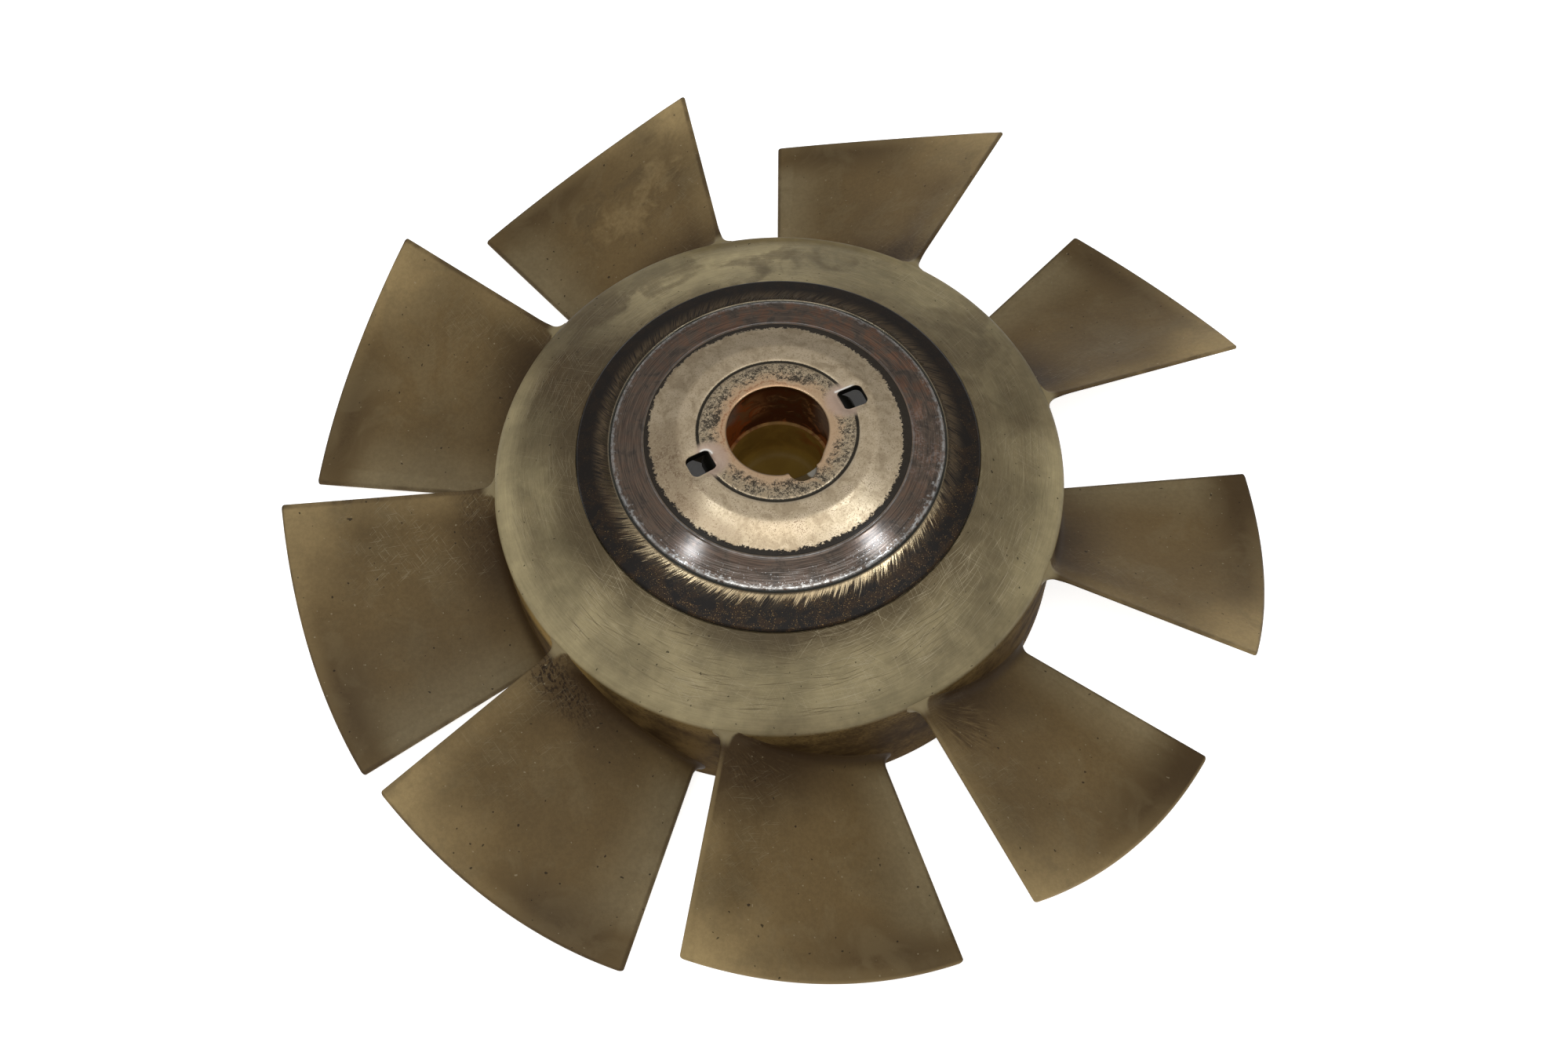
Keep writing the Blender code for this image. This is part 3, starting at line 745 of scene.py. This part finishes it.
# Corners here and at the bore are radius, height and rounding
seatSizes = {
    "corners": (
        (60.0, 73.0, 0.4),
        (66.5, 70.8, 0.0),
        (79.4, 67.4, 0.2),
        (79.4, 64.9, 0.3),
        (66.5, 68.3, 0.0),
        (60.0, 70.4, 0.4),
    ),
    "steps": 144,
}


def makeSeat(material):
    seat = turned("plateSeat", rounded(seatSizes["corners"], 3), seatSizes["steps"], material)
    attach(seat, "root")
    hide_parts("plate_seat")


boreSizes = {
    "corners": (
        (25.5, 80.7, 0.4),
        (25.5, 28.6, 0.8),
        (0.0, 28.6, 0.0),
        (0.0, 32.5, 0.0),
        (19.8, 32.6, 4.5),
        (20.3, 52.5, 0.3),
        (21.5, 52.6, 0.3),
        (21.6, 80.7, 0.4),
    ),
    "steps": 192,
}


def makeBore(material):
    line = subdivided(rounded(boreSizes["corners"], 4), 3.0)
    bore = turned("bearingBore", line, boreSizes["steps"], material)
    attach(bore, "root")
    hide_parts("bearing_tube", "bore_floor")


# One node tree draws every blade from its middle angle
bladeSizes = {
    "Root Radius": 114.4,
    "Tip Radius": 199.9,
    "Sweep": 29.94,
    "Root Low": 8.4,
    "Root High": 49.8,
    "Tip Low": 5.6,
    "Tip High": 48.5,
    "Root Sag": 1.8,
    "Tip Sag": 7.15,
    "Half Thickness": 1.1,
    "Fillet": 4.4,
    "Corner": 1.3,
    "Rim Cap": 51.9,
}
bladeSteps = (42.5, 43.0, 41.0, 38.5, 37.5, 37.5, 38.5, 40.0)
firstBladeAngle = 116.0


def newTree(name, sizes, extra=()):
    tree = bpy.data.node_groups.new(name, "GeometryNodeTree")
    tree.is_modifier = True
    addSocket = tree.interface.new_socket
    addSocket("Geometry", in_out="INPUT", socket_type="NodeSocketGeometry")
    sockets = {}
    for title in [*sizes, *extra]:
        sockets[title] = addSocket(title, in_out="INPUT", socket_type="NodeSocketFloat")
    sockets["Material"] = addSocket("Material", in_out="INPUT", socket_type="NodeSocketMaterial")
    addSocket("Geometry", in_out="OUTPUT", socket_type="NodeSocketGeometry")
    given = node(tree, "NodeGroupInput")
    return tree, sockets, {title: Field(tree, given.outputs[title]) for title in sockets}


# A cube of rows of points, and their places in it, for a rule to lay out
def gridBlock(tree, *counts):
    inputs = [("Vertices " + axis, count) for axis, count in zip("XYZ", counts)]
    block = fieldNode(tree, "GeometryNodeMeshCube", inputs)
    return block, *separate(fieldNode(tree, "GeometryNodeInputPosition"))


def endTree(tree, geometry, material):
    real = fieldNode(tree, "GeometryNodeRealizeInstances", [("Geometry", geometry)])
    finished = fieldNode(tree, "GeometryNodeSetMaterial", [("Geometry", real), ("Material", material)])
    node(tree, "NodeGroupOutput", [(0, finished)])


def bladeRule():
    tree, sockets, g = newTree("bladeRule", bladeSizes, ["Middle Angle"])
    block, x, y, z = gridBlock(tree, 46, 60, 2)
    row, column, side = x + 0.5, y * 2.0, z * 2.0
    quarter = math.pi / 2
    # Rows run from the fillet's foot inside the skirt, over the blade, to the rounded tip
    rootShare, tipShare = 0.24, 0.16
    rootTurn = act("MINIMUM", row / rootShare, 1.0) * quarter
    middle = ramp(row, rootShare, 1.0 - tipShare, kind="LINEAR")
    tipTurn = ramp(row, 1.0 - tipShare, 1.0, kind="LINEAR") * quarter
    plain = g["Tip Radius"] - g["Root Radius"] - g["Fillet"] - g["Corner"]
    radius = g["Root Radius"] + g["Fillet"] * (1.0 - act("COSINE", rootTurn)) + plain * middle
    radius = radius + g["Corner"] * act("SINE", tipTurn)
    sunkIntoSkirt = 0.9
    radius = radius - act("LESS_THAN", row, 0.005) * sunkIntoSkirt
    out = (radius - g["Root Radius"]) / (g["Tip Radius"] - g["Root Radius"])
    flare = g["Fillet"] * (1.0 - act("SINE", rootTurn))

    def fromRoot(title):
        return g["Root " + title] + (g["Tip " + title] - g["Root " + title]) * out

    # Columns run over the blade from the low edge to the high one, with a half turn round each edge
    capShare, capDegrees = 0.16, 78.0
    outward = act("SIGN", column)
    across = act("ABSOLUTE", column)
    core = act("MINIMUM", across / (1.0 - capShare), 1.0) * outward
    capTurn = ramp(across, 1.0 - capShare, 1.0, kind="LINEAR") * math.radians(capDegrees)
    sweep = act("RADIANS", g["Sweep"])
    inset = g["Corner"] * (1.0 - act("COSINE", tipTurn)) / (g["Tip Radius"] * sweep)
    up = 0.5 - 0.5 * core * (1.0 - 2.0 * inset)
    low, high, sag = fromRoot("Low"), fromRoot("High"), fromRoot("Sag") * 4.0
    level = low + (high - low) * up - sag * up * (1.0 - up)
    rise = high - low - sag * (1.0 - 2.0 * up)
    run = radius * sweep
    length = distance(run, rise)
    tangentX, tangentZ = run / length, -(rise / length)
    thinned = 1.0 - 0.45 * ramp(up, 0.9, 1.0) * ramp(out, 0.02, 0.12)
    half = g["Half Thickness"] * (1.25 - 0.25 * out) * thinned
    fromTip = ramp(g["Corner"] * (1.0 - act("SINE", tipTurn)) / half, 0.0, 1.0, 1.0, 0.0, kind="LINEAR")
    half = half * act("SQRT", 1.0 - 0.94 * fromTip * fromTip) + flare
    past = half * act("SINE", capTurn) * outward
    thick = half * act("COSINE", capTurn) * side
    arc = radius * sweep * (0.5 - up) + tangentX * past - tangentZ * thick
    level = level + tangentZ * past + tangentX * thick
    level = act("SMOOTH_MIN", level, g["Rim Cap"], 1.5)
    angle = arc / radius + act("RADIANS", g["Middle Angle"])
    target = combine(radius * act("COSINE", angle) * mm, radius * act("SINE", angle) * mm, level * mm)
    kept = [("Geometry", block), ("Name", "outAndUp"), ("Value", combine(out, up, side))]
    named = fieldNode(tree, "GeometryNodeStoreNamedAttribute", kept, data_type="FLOAT_VECTOR")
    shape = fieldNode(tree, "GeometryNodeSetPosition", [("Geometry", named), ("Position", target)])
    endTree(tree, shape, g["Material"])
    return tree, sockets


# The mesh that an object's modifiers make, in place of the modifiers
def settle(item):
    bpy.context.view_layer.update()
    seed = item.data
    mesh = bpy.data.meshes.new_from_object(item.evaluated_get(bpy.context.evaluated_depsgraph_get()))
    item.modifiers.clear()
    item.data = mesh
    bpy.data.meshes.remove(seed)
    mesh.name = item.name


def grown(name, tree, sockets, values, material):
    item = bpy.data.objects.new(name, bpy.data.meshes.new(name + "Seed"))
    bpy.context.scene.collection.objects.link(item)
    modifier = item.modifiers.new("rule", "NODES")
    modifier.node_group = tree
    for title, value in values.items():
        modifier[sockets[title].identifier] = value
    modifier[sockets["Material"].identifier] = material
    settle(item)
    return item


def makeBlades(material):
    tree, sockets = bladeRule()
    angle = firstBladeAngle
    for number in range(9):
        values = dict(bladeSizes)
        values["Middle Angle"] = angle
        blade = grown(f"bladeSkin{number + 1}", tree, sockets, values, material)
        smooth(blade, 50.0)
        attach(blade, "root")
        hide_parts(f"blade_{number + 1}")
        if number < len(bladeSteps):
            angle -= bladeSteps[number]


# Radial ribs under the hub, one drawn by a rule and turned to its places
ribSizes = {
    "Inner Radius": 25.7,
    "Outer Radius": 111.2,
    "Half Thickness": 1.25,
    "Inner Foot": 31.0,
    "Outer Foot": 7.0,
    "First Angle": 8.0,
}
ribCount = 5
ribTop = (
    (25.7, 80.7), (30.2, 80.8), (36.0, 80.0), (48.0, 76.8), (59.7, 73.1),
    (60.3, 69.9), (66.5, 67.8), (79.4, 64.4), (80.0, 64.5), (111.2, 50.9),
)


def makeRibs(material):
    tree, sockets, g = newTree("ribRule", ribSizes)
    block, x, y, z = gridBlock(tree, 60, 4, 12)
    out = x + 0.5
    radius = g["Inner Radius"] + (g["Outer Radius"] - g["Inner Radius"]) * out
    top = ribTop[0][1]
    for (r0, z0), (r1, z1) in zip(ribTop, ribTop[1:]):
        top = top + ramp(radius, r0, r1, 0.0, z1 - z0, kind="LINEAR")
    foot = g["Inner Foot"] + (g["Outer Foot"] - g["Inner Foot"]) * ramp(out, 0.0, 1.0)
    level = foot + (top - foot) * (z + 0.5)
    draft = 1.0 - 0.25 * ramp(z + 0.5, 0.3, 0.0)
    target = combine(radius * mm, y * 2.0 * g["Half Thickness"] * draft * mm, level * mm)
    shape = fieldNode(tree, "GeometryNodeSetPosition", [("Geometry", block), ("Position", target)])
    hubRing = fieldNode(tree, "GeometryNodeMeshCircle", [("Vertices", ribCount), ("Radius", 0.0)])
    index = fieldNode(tree, "GeometryNodeInputIndex")
    turn = combine(0.0, 0.0, index * (2.0 * math.pi / ribCount) + act("RADIANS", g["First Angle"]))
    placed = [("Points", hubRing), ("Instance", shape), ("Rotation", turn)]
    endTree(tree, fieldNode(tree, "GeometryNodeInstanceOnPoints", placed), g["Material"])
    ribs = grown("hubRibs", tree, sockets, ribSizes, material)
    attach(ribs, "root")
    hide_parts(*[f"hub_rib_{number + 1}" for number in range(ribCount)])


plate = {
    "hole": 19.95,
    "edge": 79.4,
    "thickness": 1.3,
    "line": (
        (19.9, 82.35), (28.0, 82.45), (33.0, 82.25), (36.0, 82.0), (39.0, 81.7),
        (40.6, 81.25), (43.0, 80.4), (46.0, 79.35), (49.5, 78.25), (53.0, 77.2),
        (60.0, 75.15), (65.5, 73.4), (67.5, 72.8), (73.0, 71.2), (79.4, 69.2),
    ),
    "rows": (
        (20.0, 41.0, 0.42), (41.0, 51.8, 0.8), (51.8, 54.2, 0.25), (54.2, 64.0, 0.9),
        (64.0, 68.2, 0.25), (68.2, 78.6, 0.9), (78.6, 79.4, 0.16),
    ),
    "backRows": (79.4, 73.0, 66.5, 60.0, 53.0, 48.0, 42.0, 36.0, 31.4, 26.0, 20.0),
    "slotAngles": (25.4, 204.8),
    "slotSkews": (-1.4, 1.2),
    "slotInner": 27.4,
    "slotOuter": 38.1,
    "slotNarrow": 4.5,
    "slotWide": 4.8,
    "slotRounding": 2.6,
    "collar": ((0.03, 0.6), (0.75, 0.6), (0.75, 3.9), (0.03, 3.9)),
    "notchAngle": -62.5,
    "notchCentre": 19.5,
    "notchRadius": 5.6,
    "notchSoftness": 0.6,
    "shoulder": (-44.5, 12.0, 1.6),
    "burr": (-80.5, 2.5, -0.35),
    "holeDip": (20.0, 0.35, -0.3),
    "padGroove": (31.3, 0.75, -0.45),
    "stepLip": (53.0, 0.35, 0.22),
    "ringGroove": (65.95, 0.5, -0.65),
    "edgeDip": (79.4, 0.35, -0.35),
    "slotDip": (0.0, 1.6, -0.35),
    "slotFade": 3.0,
    "ringShift": 0.75,
    "steps": 576,
}
slotEnd = (plate["slotOuter"] - plate["slotInner"]) / 2.0


# A smooth line through the plate's points of radius and height
def plateLine(radius):
    line = plate["line"]
    last = len(line) - 1
    index = next((i for i, point in enumerate(line[1:]) if radius <= point[0]), last - 1)

    def slope(i):
        before, after = line[max(0, i - 1)], line[min(last, i + 1)]
        return (after[1] - before[1]) / (after[0] - before[0])

    (r0, z0), (r1, z1) = line[index], line[index + 1]
    span = r1 - r0
    t = max(0.0, min(1.0, (radius - r0) / span))
    return (
        z0 * (2 * t**3 - 3 * t**2 + 1)
        + slope(index) * span * (t**3 - 2 * t**2 + t)
        + z1 * (3 * t**2 - 2 * t**3)
        + slope(index + 1) * span * (t**3 - t**2)
    )


def bump(value, centre, width):
    return math.exp(-(((value - centre) / width) ** 2))


# One of the plate's places, widths and depths, at a radius, an angle or a distance
def relief(name, value):
    centre, width, depth = plate[name]
    return depth * bump(value, centre, width)


# A slot's middle on the plan, and the cosine and sine of its own direction
def slotFrame(number):
    degrees = plate["slotAngles"][number]
    middle = (plate["slotInner"] + plate["slotOuter"]) / 2.0
    cosine, sine = heading(degrees)
    return middle * cosine, middle * sine, *heading(degrees + plate["slotSkews"][number])


# Place along and across a slot, from its middle, of a point on the plan (numbers or fields)
def inSlot(number, x, y):
    middleX, middleY, cosine, sine = slotFrame(number)
    x, y = x - middleX, y - middleY
    return x * cosine + y * sine, y * cosine - x * sine


# The way back, from a place in a slot to the plan
def outOfSlot(number, along, across):
    middleX, middleY, cosine, sine = slotFrame(number)
    return middleX + along * cosine - across * sine, middleY + along * sine + across * cosine


# Distance in the plate from the edge of the nearer slot, negative inside it
def slotDistance(radius, degrees):
    cosine, sine = heading(degrees)
    nearest = 99.0
    for number in range(2):
        along, across = inSlot(number, radius * cosine, radius * sine)
        share = max(0.0, min(1.0, (along + slotEnd) / (2.0 * slotEnd)))
        halfWide = plate["slotNarrow"] + (plate["slotWide"] - plate["slotNarrow"]) * share
        r = plate["slotRounding"]
        dx = abs(along) - (slotEnd - r)
        dy = abs(across) - (halfWide - r)
        outside = math.hypot(max(dx, 0.0), max(dy, 0.0))
        nearest = min(nearest, outside + min(max(dx, dy), 0.0) - r)
    return nearest


# The hole is worn open at one side, as a round bite with softened ends and a burr
def holeReach(degrees):
    cosine, sine = heading(degrees - plate["notchAngle"])
    inside = plate["notchRadius"] ** 2 - (plate["notchCentre"] * sine) ** 2
    bite = 0.0
    if inside > 0 and cosine > 0:
        bite = plate["notchCentre"] * cosine + math.sqrt(inside)
    around = (degrees + 180.0) % 360.0 - 180.0
    plain = plate["hole"] + relief("shoulder", around)
    soft = plate["notchSoftness"]
    share = max(0.0, soft - abs(bite - plain)) / soft
    return max(bite, plain) + share * share * soft * 0.25 + relief("burr", around)


def frontHeight(radius, degrees):
    apart = max(slotDistance(radius, degrees), 0.0)
    height = plateLine(radius)
    height += relief("padGroove", radius) * (1.0 - bump(apart, 0.0, plate["slotFade"]))
    height += relief("stepLip", radius)
    height += relief("ringGroove", radius - plate["ringShift"] * heading(degrees)[1])
    height += relief("slotDip", apart)
    height += relief("edgeDip", radius)
    return height


# Radii of the front's rows, closer where the sheet is stepped
def frontRows():
    radii = []
    for start, end, step in plate["rows"]:
        count = round((end - start) / step)
        radii += [start + (end - start) * i / count for i in range(count)]
    return radii + [plate["edge"]]


# The rows near the hole follow its real edge, and less so up to 12 mm outward
def bentRow(radius, reach):
    firstRow, fade = 20.0, 12.0
    return radius + (reach - firstRow) * max(0.0, 1.0 - (radius - firstRow) / fade) ** 2


def makePlate(material):
    front, back, steps = frontRows(), plate["backRows"], plate["steps"]
    points = []
    for step in range(steps):
        degrees = 360.0 * step / steps
        cosine, sine = heading(degrees)
        reach = holeReach(degrees)
        column = []
        for radius in front:
            bent = bentRow(radius, reach)
            column.append((bent, frontHeight(bent, degrees) + relief("holeDip", radius)))
        for radius in back:
            column.append((bentRow(radius, reach), plateLine(radius) - plate["thickness"]))
        points += [(r * cosine, r * sine, z) for r, z in column]
    item = meshObject("steelPlate", points, ringFaces(steps, len(front) + len(back)), material)
    sealMesh(item)
    cutters = [slotCutter(number) for number in range(2)]
    for cutter in cutters:
        step = item.modifiers.new(cutter.name, "BOOLEAN")
        step.operation = "DIFFERENCE"
        step.solver = "EXACT"
        step.object = cutter
    settle(item)
    for cutter in cutters:
        bpy.data.objects.remove(cutter)
    item.data.materials.clear()
    item.data.materials.append(material)
    smooth(item, 40.0)
    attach(item, "root")
    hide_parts("steel_plate")
    for number in range(2):
        makeCollar(number, material)
        makeTongue(number, material)


def slotOutline(grow=0.0):
    r = plate["slotRounding"] + grow
    end = slotEnd + grow
    narrow, wide = plate["slotNarrow"] + grow, plate["slotWide"] + grow
    return rounded([(-end, -narrow, r), (end, -wide, r), (end, wide, r), (-end, narrow, r)], 8)


# The rim turned down round a slot, seen as its dark far wall, which the plate's finish paints black for
# soot and painted shade
def makeCollar(number, material):
    rings = [(drop, slotOutline(grow)) for grow, drop in plate["collar"]]
    steps = len(rings[0][1])
    points = []
    for step in range(steps):
        for drop, outline in rings:
            x, y = outOfSlot(number, *outline[step])
            points.append((x, y, plateLine(math.hypot(x, y)) - drop))
    collar = meshObject(f"slotCollar{number + 1}", points, ringFaces(steps, len(rings)), material)
    sealMesh(collar)
    smooth(collar, 40.0)
    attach(collar, "root")


def slotCutter(number):
    outline = slotOutline()
    count = len(outline)
    points = []
    for height in (60.0, 90.0):
        points += [(*outOfSlot(number, along, across), height) for along, across in outline]
    faces = [tuple(reversed(range(count))), tuple(range(count, 2 * count))]
    faces += [(i, (i + 1) % count, count + (i + 1) % count, count + i) for i in range(count)]
    cutter = meshObject("slotCutter", points, faces, None)
    sealMesh(cutter)
    return cutter


# The strip that was cut free at a slot and bent down at its inner end
tongue = {
    "path": (
        (-1.3, 81.35), (-0.5, 81.4), (0.2, 81.15), (0.9, 80.65), (1.7, 79.8),
        (2.5, 78.7), (3.3, 77.4), (4.0, 76.0), (4.6, 74.6),
    ),
    "section": (
        (-1, 0.5), (-0.86, 1), (0.86, 1), (1, 0.5), (1, -0.5), (0.86, -1), (-0.86, -1), (-1, -0.5),
    ),
    "reach": (1.35, 0.80),
    "halfWide": 3.9,
    "halfThick": 0.62,
    "endShrink": 0.75,
}


def makeTongue(number, material):
    section, reach = tongue["section"], tongue["reach"][number]
    sides = len(section)
    points, faces = [], []
    path = [(along * reach if along > 0 else along, height) for along, height in tongue["path"]]
    for index, (along, height) in enumerate(path):
        before, after = Vector(path[max(0, index - 1)]), Vector(path[min(len(path) - 1, index + 1)])
        ahead = (after - before).normalized()
        normal = Vector((-ahead.y, ahead.x))
        shrink = tongue["endShrink"] if index == len(path) - 1 else 1.0
        for side, lift in section:
            spot = Vector((along, height)) + normal * lift * tongue["halfThick"] * shrink
            place = outOfSlot(number, spot.x - slotEnd, side * tongue["halfWide"] * shrink)
            points.append((*place, spot.y))
    for ring in range(len(path) - 1):
        for corner in range(sides):
            a, b = ring * sides + corner, ring * sides + (corner + 1) % sides
            faces.append((a, b, b + sides, a + sides))
    faces += [tuple(range(sides)), tuple(range(len(points) - sides, len(points)))]
    strip = meshObject(f"slotTongue{number + 1}", points, faces, material)
    sealMesh(strip)
    smooth(strip, 50.0)
    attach(strip, "root")


studio = {
    "camera": (0.0, -0.36608, 0.70011),
    "tilt": (27.756, 0.688, -1.554),
    "lens": 42.53,
    "world": (0.15, 0.75),
    "lamps": ((-0.56, -0.035, 1.42), (0.585, 0.0, 1.42)),
    "lampSizes": (0.09, 0.13),
    "lampPowers": (1.0, 1.45),
    "lampColour": (0.84, 0.92, 1.0),
    "panel": (0.0, -0.54, 1.40),
    "panelSize": (1.2, 0.56),
    "panelPower": 4.3,
    "floorHalf": 30.0,
    "floorHeight": -0.0001,
    "floorTone": 0.92,
    "floorGlow": (0.05, 0.80),
    "glowRadii": (0.104, 0.113),
}


def addLamp(name, shape, spot, size, power, colour=(1.0, 1.0, 1.0)):
    data = bpy.data.lights.new(name, "AREA")
    data.color = colour
    data.shape = shape
    data.size = size[0]
    if shape == "RECTANGLE":
        data.size_y = size[1]
    data.energy = power
    lamp = bpy.data.objects.new(name, data)
    lamp.location = spot
    lamp.rotation_euler = (Vector(spot) - Vector((0.0, 0.0, 0.05))).to_track_quat("Z", "Y").to_euler()
    bpy.context.scene.collection.objects.link(lamp)


def makeStudio():
    scene = bpy.context.scene
    scene.view_settings.view_transform = "Standard"
    camera = bpy.data.objects.new("camera", bpy.data.cameras.new("camera"))
    scene.collection.objects.link(camera)
    camera.location = studio["camera"]
    camera.rotation_euler = [math.radians(turn) for turn in studio["tilt"]]
    camera.data.lens = studio["lens"]
    camera.data.sensor_width = 36.0
    camera.data.clip_start = 0.01
    scene.camera = camera
    world = bpy.data.worlds.new("studio")
    world.use_nodes = True
    tree = world.node_tree
    background = tree.nodes["Background"]
    background.inputs["Color"].default_value = (1.0, 1.0, 1.0, 1.0)
    upward = separate(fieldNode(tree, "ShaderNodeTexCoord", output="Generated"))[2]
    plug(tree, ramp(upward, 0.05, 1.0, *studio["world"], kind="LINEAR"), background.inputs["Strength"])
    scene.world = world
    for number, spot in enumerate(studio["lamps"]):
        size, power = (studio["lampSizes"][number], 0.0), studio["lampPowers"][number]
        addLamp(f"softbox{number + 1}", "DISK", spot, size, power, studio["lampColour"])
    addLamp("panel", "RECTANGLE", studio["panel"], studio["panelSize"], studio["panelPower"])
    mesh = bpy.data.meshes.new("floor")
    half, height = studio["floorHalf"], studio["floorHeight"]
    corners = [(-half, -half, height), (half, -half, height), (half, half, height), (-half, half, height)]
    mesh.from_pydata(corners, [], [(0, 1, 2, 3)])
    paper = bpy.data.materials.new("paleFloor")
    paper.use_nodes = True
    tree = paper.node_tree
    # The paper shines less in the shade under the hub
    x, y = separate(fieldNode(tree, "ShaderNodeTexCoord", output="Object"))[:2]
    inputs = {
        "Base Color": (*[studio["floorTone"]] * 3, 1.0),
        "Roughness": 0.9,
        "Specular IOR Level": 0.0,
        "Emission Color": (1.0, 1.0, 1.0, 1.0),
        "Emission Strength": ramp(distance(x, y), *studio["glowRadii"], *studio["floorGlow"]),
    }
    for name, value in inputs.items():
        plug(tree, value, tree.nodes["Principled BSDF"].inputs[name])
    mesh.materials.append(paper)
    floor = bpy.data.objects.new("floor", mesh)
    scene.collection.objects.link(floor)


makeStudio()
print("studio ready")
hubFinish = faceNylon()
makeHub(hubFinish)
makeSeat(hubFinish)
makeRibs(hubFinish)
makeBore(boreNylon())
print("hub moulded")
makeBlades(bladeNylon())
print("blades grown")
makePlate(plateSteel())
print("plate pressed")
